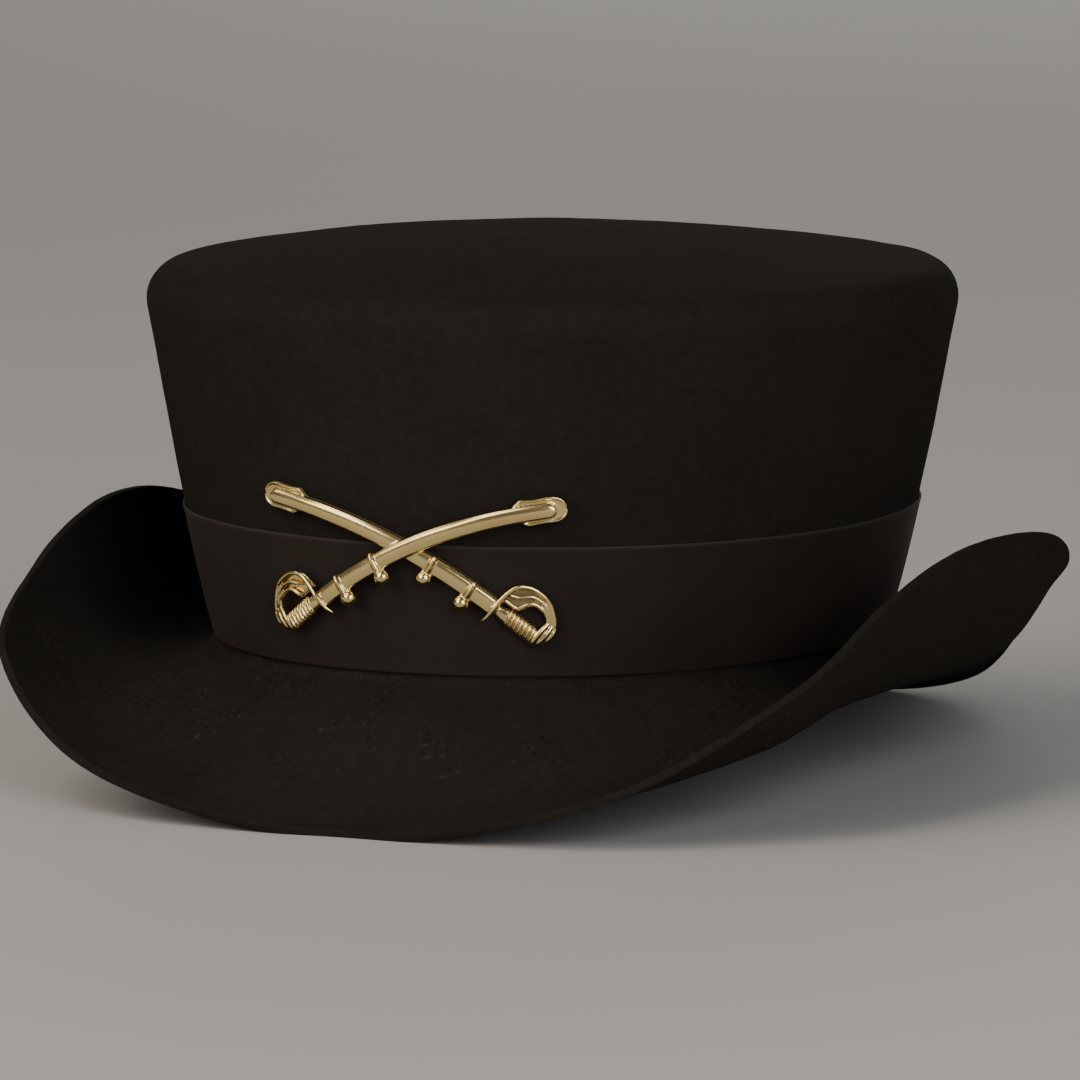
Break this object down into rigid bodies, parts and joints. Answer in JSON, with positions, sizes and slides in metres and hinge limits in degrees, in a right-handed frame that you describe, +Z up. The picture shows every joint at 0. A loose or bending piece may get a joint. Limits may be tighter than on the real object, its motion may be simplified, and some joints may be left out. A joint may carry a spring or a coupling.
{
  "type": "felt hat",
  "caption": "Low bell-crowned wool felt topper with a curled brim, a ribbon band and a brass crossed sabres badge.",
  "frame": {"origin": "on the surface the hat rests on, under the middle of the felt's bounding box", "axes": "+Z up along the crown's axis, -Y the way the wearer faces (badge and front of the brim), +X the wearer's left"},
  "size_m": [0.2614, 0.2994, 0.1431],
  "materials": {
    "felt": "matt black-brown wool felt, slightly fuzzy",
    "ribbon": "dull dark brown-black ribbon",
    "brass": "satin, cast relief"
  },
  "bodies": {
    "root": {"felt_body": "felt", "hat_band": "ribbon", "crossed_sabres": "brass", "post_clutch_left": "brass", "post_clutch_right": "brass"}
  },
  "joints": []
}
